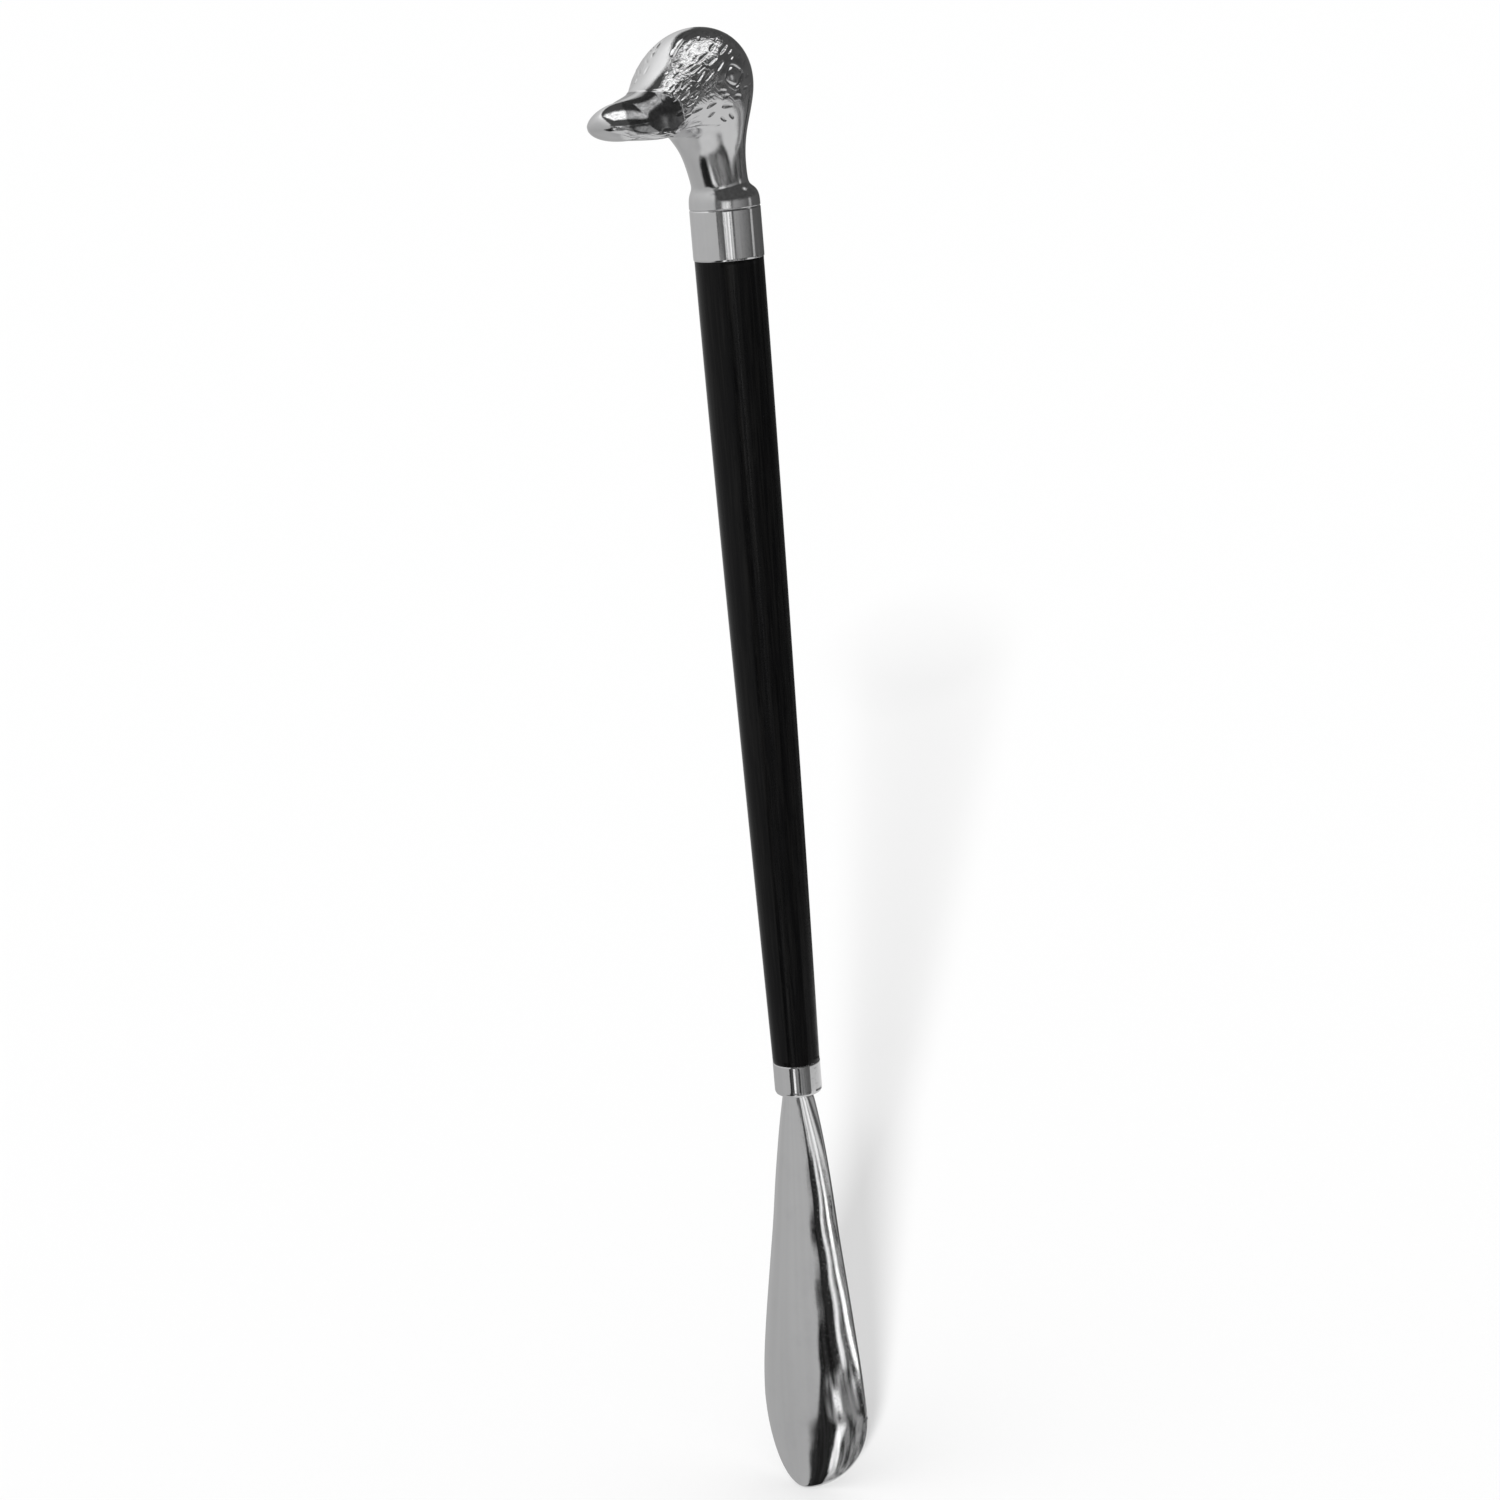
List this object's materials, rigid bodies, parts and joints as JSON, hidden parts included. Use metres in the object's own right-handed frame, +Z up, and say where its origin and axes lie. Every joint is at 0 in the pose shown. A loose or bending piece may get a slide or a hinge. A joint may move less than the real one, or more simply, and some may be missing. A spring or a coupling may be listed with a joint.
{
  "type": "long shoehorn",
  "caption": "Long shoehorn with a cast metal duck head handle, a tapered black wooden shaft between polished collars, and a curved metal spoon blade.",
  "frame": {"origin": "centre of the upper collar, on the shaft's axis", "axes": "+Z up the shaft to the head, +X the way the bill points and the blade's rounded back faces"},
  "size_m": [0.066, 0.044, 0.4784],
  "materials": {
    "head_metal": "polished plated casting",
    "collar_metal": "polished plated tube",
    "blade_metal": "polished plated sheet",
    "plug_metal": "turned steel",
    "stud_steel": "plain steel",
    "shaft_wood": "black satin lacquer on turned hardwood"
  },
  "bodies": {
    "root": {"duck_head": "head_metal", "head_stud": "stud_steel", "upper_collar": "collar_metal", "shaft": "shaft_wood", "lower_collar": "collar_metal", "collar_plug": "plug_metal", "blade_stud": "stud_steel", "blade": "blade_metal"}
  },
  "joints": []
}
